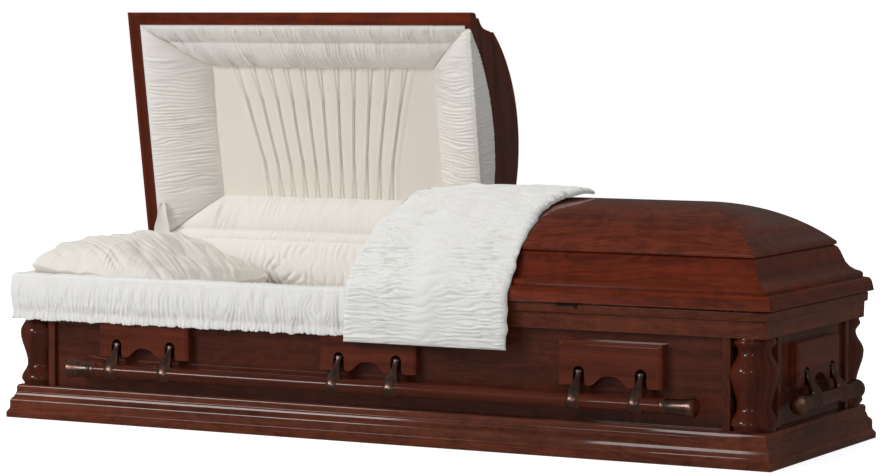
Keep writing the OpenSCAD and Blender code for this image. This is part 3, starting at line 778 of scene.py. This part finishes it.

# ---- Gusset along the hinge side ---------------------------------------------------------
# A soft gathered roll that bridges from the body's lining to the raised head lid and hides the
# hinges.

gusset_foot_y, gusset_foot_z = 0.272, 0.318
gusset_lean, gusset_rise = 0.052, 0.112
gusset_belly = 0.022
x = np.linspace(-half_length + 0.062, cut_x - 0.004, 520)
v = np.linspace(0, 1, 46)
xx, vv = np.meshgrid(x, v, indexing="ij")
fold = gathers(xx + 0.25 * vv * 0.12, vv * 0.12, 0.017, 0.05, 7)
belly = np.sin(np.pi * vv) ** 0.7
edge = np.clip(np.minimum(xx - x[0], x[-1] - xx) / 0.03, 0, 1) ** 0.5
gathered = 0.0052 * fold * np.clip(np.minimum(vv, 1 - vv) * 10, 0, 1)
push = (gusset_belly * belly + gathered) * (0.4 + 0.6 * edge)
yy = gusset_foot_y + gusset_lean * vv - push
zz = gusset_foot_z + gusset_rise * vv
points = np.stack([xx, yy, zz], axis=2)
under = np.stack([xx, 0.281 + 0.047 * vv, zz], axis=2)
gusset = cloth_piece("hinge_gusset", points, under, lining_cloth)
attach(gusset, "body")
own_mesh(gusset)

# ---- Cloth tab at the head end of the gusset ---------------------------------------------
# A short flap of the gusset's cloth, left standing in front of the lid's lower corner.

tab_foot_x, tab_foot_z = -1.012, 0.385
tab_rise = 0.140
v = np.linspace(0, 1, 60)
u = np.linspace(-1, 1, 26)
uu, vv = np.meshgrid(u, v, indexing="ij")
tab_half = 0.025 * (1 - 0.8 * vv ** 3.5) * (1 + 0.07 * np.sin(vv * 15))
tab_x = tab_foot_x + 0.012 * vv + uu * tab_half
tab_z = tab_foot_z + tab_rise * vv + 0.004 * uu
tab_curl = 0.0045 * (1 - np.cos(2.2 * uu)) + 0.002 * np.sin(vv * 9 + uu * 2)
tab_y = 0.3205 - 0.152 * (tab_z - 0.44) - tab_curl
points = np.stack([tab_x, tab_y - 0.0012, tab_z], axis=2)
under = np.stack([tab_x, tab_y, tab_z], axis=2)
gusset_tab = cloth_piece("gusset_tab", points, under, lining_cloth)
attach(gusset_tab, "body")
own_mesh(gusset_tab)

# ---- Lock keeper in the head lid's front rail --------------------------------------------
# Small blackened socket let into the underside of the rail, where the lid's lock takes hold.

rail = [closed_place(v.co, "head_lid") for v in frame["nodes"]["head_lid_moulding"].data.vertices]
rail_under = min(p.z for p in rail)
keeper_x, keeper_y = -0.533, -0.319
keeper_profile = [(0.0, 0.0002), (0.0036, 0.0002), (0.0040, -0.0004), (0.0052, -0.0006),
                  (0.0058, -0.0002), (0.0058, 0.003), (0.0, 0.003)]
keeper_sides = 32
ring_points = []
for radius, height in keeper_profile:
    for a in 2 * np.pi * np.arange(keeper_sides) / keeper_sides:
        ring_points.append((keeper_x + radius * math.cos(a), keeper_y + radius * math.sin(a),
                            rail_under + height))
keeper_faces = []
for ring in range(0, (len(keeper_profile) - 1) * keeper_sides, keeper_sides):
    for k in range(keeper_sides):
        m = (k + 1) % keeper_sides
        above = ring + keeper_sides
        keeper_faces.append((ring + k, ring + m, above + m, above + k))
lock_keeper = shaped_piece("lock_keeper", opened(np.array(ring_points)), keeper_faces, black_steel,
                           merge=0.000005, smooth=False)
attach(lock_keeper, "head_lid")

# ---- Mattress ----------------------------------------------------------------------------
# Flat wadded mattress in crepe, with a row of shallow tufts across it, loose on the bed frame.

low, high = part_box("mattress")
cover_gap = 0.004
soft_edge = 0.028
u = np.linspace(0, 1, 300)
v = np.linspace(0, 1, 90)
uu, vv = np.meshgrid(u, v, indexing="ij")
xm = low[0] + cover_gap + (high[0] - low[0] - 2 * cover_gap) * uu
at_post = eased((np.abs(xm) - (half_length - notch_in - 0.012)) / 0.01)
wide = (high[1] - low[1]) / 2 - cover_gap - at_post * (notch_in - well_in + 0.006)
ym = (low[1] + high[1]) / 2 + wide * (2 * vv - 1)
to_edge = np.minimum(np.minimum(uu, 1 - uu) * 1.9, np.minimum(vv, 1 - vv) * 0.53)
rim_fall = np.clip(to_edge / 0.05, 0, 1)
rim_fall = np.sqrt(rim_fall * (2 - rim_fall))
tuft = np.cos(2 * np.pi * uu * 9) * np.cos(2 * np.pi * vv * 3)
zz = high[2] - soft_edge + soft_edge * rim_fall - 0.004 * (1 - tuft) * rim_fall
zz = zz + 0.0012 * gathers(ym, xm, 0.02, 0.12, 2)
points = np.stack([xm, ym, zz], axis=2)
under = np.stack([xm, ym, np.full_like(xm, low[2] + 0.001)], axis=2)
mattress = cloth_piece("mattress_cover", points, under, bedding_cloth)
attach(mattress, "body")
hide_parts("mattress")

# ---- Pillow ------------------------------------------------------------------------------
# Plump crepe pillow at the head end, with creases that run in from its four corners.

middle = Vector((-0.812, -0.016, 0.0))
reach = Vector((0.226, 0.281, 0.0))
plumpness = 0.09
lies_at = 0.283
post_top = 0.368
u = np.linspace(-1, 1, 210)
v = np.linspace(-1, 1, 190)
uu, vv = np.meshgrid(u, v, indexing="ij")
corner_cut = 1 - np.where(uu > 0, 0.15, 0.07) * uu ** 4 * vv ** 4
bow_x = 1 - 0.05 * (1 - vv ** 2) * uu ** 4
bow_y = 1 - 0.05 * (1 - uu ** 2) * vv ** 4
wavy = 0.006 * ripple(2.5 * uu + 9, 2.5 * vv + 9, 5) + 0.003 * ripple(7 * uu + 9, 7 * vv + 9, 6)
xp = middle.x + (reach.x + wavy) * uu * bow_x * corner_cut
yp = middle.y + (reach.y + wavy) * vv * bow_y * corner_cut
end_fall = 1 - np.where(uu > 0, np.abs(uu) ** 2.2, np.abs(uu) ** 5)
side_fall = np.clip(1 - vv ** 4, 0.001, 1)
dome = 1.19 * (np.clip(end_fall, 0.001, 1) ** -4 + side_fall ** -4) ** -0.25
dome = (dome * np.clip(1 - uu ** 14, 0, 1) * np.clip(1 - vv ** 14, 0, 1)) ** 0.5
dome = dome * (0.62 + 0.38 * ((1 - uu ** 2) * (1 - vv ** 2)) ** 0.5)
slant = uu * 0.55 + vv
creases = gathers(slant * 0.24, (uu - 0.6 * vv) * 0.2, 0.021, 0.15, 4)
soft_creases = gathers(slant * 0.24 + 0.3, (uu - 0.6 * vv) * 0.2, 0.05, 0.2, 2)
edge_creases = gathers(np.arctan2(vv, uu) * 0.3, np.hypot(uu, vv) * 0.2, 0.014, 0.07, 3)
near_edge = np.clip((np.maximum(np.abs(uu), np.abs(vv)) - 0.6) / 0.4, 0, 1)
calm = np.clip((1 - np.maximum(np.abs(uu), np.abs(vv))) * 12, 0, 1)
wrinkle = (0.0024 * creases + 0.0048 * soft_creases + 0.0036 * edge_creases * near_edge) * calm
seam_line = 0.350 + 0.034 * (1 - uu) / 2 + 0.006 * (1 - vv) / 2
seam_line = seam_line + 1.2 * wavy - 0.012 * np.clip(uu, 0, 1)
lean = 1 - 0.25 * np.clip(-uu, 0, 1) ** 1.6 - 0.62 * np.clip(uu, 0, 1) ** 0.95
top = seam_line + plumpness * dome * lean + wrinkle
bottom = np.maximum(seam_line - plumpness * dome, lies_at)
over_post = (xp < -0.905) & (np.abs(yp) > 0.175)
bottom = np.where(over_post, np.maximum(bottom, post_top), bottom)
top = np.maximum(top, bottom + 0.002)
seam = np.stack([xp, yp, top], axis=2)
base = np.stack([xp, yp, np.minimum(bottom, top - 0.002)], axis=2)
pillow = cloth_piece("pillow_cover", seam, base, bedding_cloth)
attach(pillow, "body")
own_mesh(pillow)
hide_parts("pillow")

# ---- Apron -------------------------------------------------------------------------------
# Gathered cloth that lies over the rim at the front and round the head end. It is drawn in on a
# hidden cord near its lower edge, so the hem is scalloped; the part on the rim is a soft roll.

apron_path = []
apron_inset = 0.0075
apron_step = 0.0024
front_y = -half_width + apron_inset
head_x = -half_length + apron_inset
corner_r = 0.022
apron_end = -0.052
back_end = 0.232
for t in np.linspace(0, 1, int((apron_end - head_x - corner_r) / apron_step)):
    apron_path.append((apron_end + (head_x + corner_r - apron_end) * t, front_y, 0.0, -1.0))
for t in np.linspace(0, 1, 14)[1:-1]:
    a = math.radians(90 * t)
    apron_path.append((head_x + corner_r - corner_r * math.sin(a),
                       front_y + corner_r - corner_r * math.cos(a), -math.sin(a), -math.cos(a)))
for t in np.linspace(0, 1, int((back_end - front_y - corner_r) / apron_step)):
    apron_path.append((head_x, front_y + corner_r + (back_end - front_y - corner_r) * t, -1.0, 0.0))
apron_path = np.array(apron_path)
outward = apron_path[:, 2:]
spine = apron_path[:, :2]
run = np.concatenate([[0], np.cumsum(np.linalg.norm(np.diff(spine, axis=0), axis=1))])
rim_top = 0.3627


def drop_section(t, broad, fine):
    """Distance outwards and height of the hanging part at a share t of its depth."""
    hang = 0.106
    cord = 0.8
    belly = 0.0035 * np.sin(np.pi * np.clip(t / cord, 0, 1))
    belly = belly - 0.0014 * np.exp(-((t - cord) / 0.1) ** 2)
    out = belly + 0.0036 * broad * np.clip(t * 5, 0.3, 1) * (1 - 0.4 * t)
    out = out + 0.0034 * fine * np.clip(t * 1.6, 0.2, 1)
    scallop = 0.0026 * broad + 0.0016 * fine
    return out, rim_top - (hang + scallop) * t


t = np.linspace(0, 1, 40)
ss, tt = np.meshgrid(run, t, indexing="ij")
broad = ripple(ss / 0.017 + 0.5 * ripple(tt * 2.2, ss / 0.12, 5), tt * 1.1, 6)
tucked = np.abs(np.sin(np.pi * (ss / 0.0115 + 1.1 * ripple(ss / 0.026, tt * 2.4, 3)))) ** 0.8
fine = 0.6 * (2 * tucked - 1.2) + 0.5 * (2 * np.abs(ripple(ss / 0.007, tt * 3.2, 7)) ** 0.7 - 1)
out, height = drop_section(tt, broad, fine)
plan = spine[:, None, :] + outward[:, None, :] * out[..., None]
points = np.concatenate([plan, height[..., None]], axis=2)
under = np.concatenate([plan - outward[:, None, :] * 0.0035, height[..., None]], axis=2)
apron_drop = cloth_piece("apron_drop", points, under, throw_cloth)
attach(apron_drop, "body")
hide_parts("apron")

t = np.linspace(0, 1, 26)
ss, tt = np.meshgrid(run, t, indexing="ij")
broad_edge = ripple(ss / 0.017 + 0.5 * ripple(tt * 0, ss / 0.12, 5), tt * 0, 6)
soft = gathers(ss, tt * 0.05, 0.012, 0.04, 2)
angle = tt * np.pi
roll_w = 0.047
swell = 0.013 + 0.0022 * ripple(ss / 0.05, tt * 2, 8)
out = 0.0012 * broad_edge * (1 - tt) - roll_w * (1 - np.cos(angle)) / 2
rise = swell * np.sin(angle) ** 0.75 + 0.0016 * soft * np.sin(angle)
plan = spine[:, None, :] + outward[:, None, :] * out[..., None]
points = np.concatenate([plan, (rim_top + rise)[..., None]], axis=2)
under = np.concatenate([plan, np.full_like(rise, rim_top - 0.0005)[..., None]], axis=2)
apron_roll = cloth_piece("apron_roll", points, under, throw_cloth)
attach(apron_roll, "body")
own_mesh(apron_roll)

# ---- Throw over the foot lid -------------------------------------------------------------
# Wadded crepe throw, smocked in bands across its width, laid over the crown at the cut end and
# hanging to just below the rim. Its edge stands a little past the cut.

crown_half = 0.263
crown_apex = 0.592
crown_rise = 0.104
crown_bow = (crown_half ** 2 + crown_rise ** 2) / (2 * crown_rise)
arc_y = np.linspace(0.045, -crown_half, 60)
arc_z = crown_apex - crown_bow + np.sqrt(crown_bow ** 2 - arc_y ** 2)
lower = [(-0.272, 0.480), (-0.290, 0.452), (-0.306, 0.425), (-0.322, 0.401), (-0.3345, 0.384),
         (-0.3385, 0.366), (-0.3405, 0.340), (-0.3425, 0.300), (-0.344, 0.246)]
section = np.concatenate([np.stack([arc_y, arc_z], axis=1), np.array(lower)])
length_at = np.concatenate([[0], np.cumsum(np.linalg.norm(np.diff(section, axis=0), axis=1))])
throw_run = length_at[-1]
rows = 330
s_even = np.linspace(0, throw_run, rows)
line = np.stack([np.interp(s_even, length_at, section[:, k]) for k in (0, 1)], axis=1)
for smoothing in range(12):
    line[1:-1] = 0.5 * line[1:-1] + 0.25 * (line[:-2] + line[2:])
line_tangent = np.gradient(line, axis=0)
line_tangent /= np.linalg.norm(line_tangent, axis=1, keepdims=True)
line_out = np.stack([line_tangent[:, 1], -line_tangent[:, 0]], axis=1)
throw_from = -0.046
throw_to = 0.392
throw_split = 0.0


def throw_strip(name, x_from, x_to, columns):
    x = np.linspace(x_from, x_to, columns)
    ss, xx = np.meshgrid(s_even, x, indexing="ij")
    share = (xx - throw_from) / (throw_to - throw_from)
    down = ss / throw_run
    bands = 0.0
    for centre, width in ((0.06, 0.1), (0.2, 0.09), (0.34, 0.08)):
        for middle in (centre, 1 - centre):
            bands = bands + np.exp(-((share - middle) / width) ** 2)
    bands = np.clip(bands, 0, 1)
    plain = np.exp(-((share - 0.51) / 0.085) ** 2)
    fold = gathers(ss, xx, 0.0078, 0.06, 2)
    fold_b = gathers(ss + 0.11, xx + 0.3, 0.0062, 0.04, 6)
    wide = ripple(ss / 0.06, xx / 0.12, 4)
    crumple = 1 + 0.9 * np.clip(1 - down * 1.7, 0, 1)
    smocked = (0.0036 * fold * (0.35 + 0.65 * bands) + 0.0026 * fold_b * bands) * (1 - 0.8 * plain)
    puffs = 0.0034 * gathers(ss + 0.6 * (share - 0.5) * 0.1, xx, 0.021, 0.07, 5) * plain
    lift = 0.0092 + smocked * crumple + puffs
    lift = lift + 0.003 * wide + 0.008 * plain * (0.35 + 0.65 * np.clip(down * 1.6 - 0.6, 0, 1))
    hem = np.minimum(np.minimum(share, 1 - share) * 0.44, np.minimum(ss, throw_run - ss))
    lift = lift * (0.3 + 0.7 * np.clip(hem / 0.012, 0, 1) ** 0.5)
    bridge = 0.006 * np.sin(np.pi * np.clip(down / 0.55, 0, 1)) + 0.012 * eased((0.3 - down) / 0.3)
    lift = lift + bridge * eased(share * 2.2 - 0.15)
    y = line[:, 0][:, None] + line_out[:, 0][:, None] * lift
    z = line[:, 1][:, None] + line_out[:, 1][:, None] * lift
    ridge = eased((0.34 - down) / 0.34)
    slant = (0.046 * share - 0.004 * (1 - share)) * ridge * eased(xx / 0.08)
    frill = 0.0035 * ripple(ss / 0.022, share * 0, 5) * np.clip((share - 0.9) * 10, 0, 1)
    if x_from < throw_split:
        past_cut = np.interp(down, [0, 0.14, 0.31, 0.44, 0.57, 0.68, 1],
                             [0.08, 0.08, 0.1, 0.48, 0.7, 1.08, 1.15])
        slant = xx * (past_cut - 1)
    points = np.stack([xx + slant + frill, y, z], axis=2)
    inside = np.maximum(lift - 0.006, 0.0012)
    under = np.stack([points[..., 0], line[:, 0][:, None] + line_out[:, 0][:, None] * inside,
                      line[:, 1][:, None] + line_out[:, 1][:, None] * inside], axis=2)
    strip = cloth_piece(name, points, under, throw_cloth)
    strip.data.set_sharp_from_angle(angle=math.radians(75))
    return strip


throw = throw_strip("throw_cover", throw_split, throw_to, 130)
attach(throw, "foot_lid")
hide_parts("throw")
throw_edge = throw_strip("throw_edge", throw_from, throw_split, 18)
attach(throw_edge, "foot_lid")
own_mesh(throw_edge)
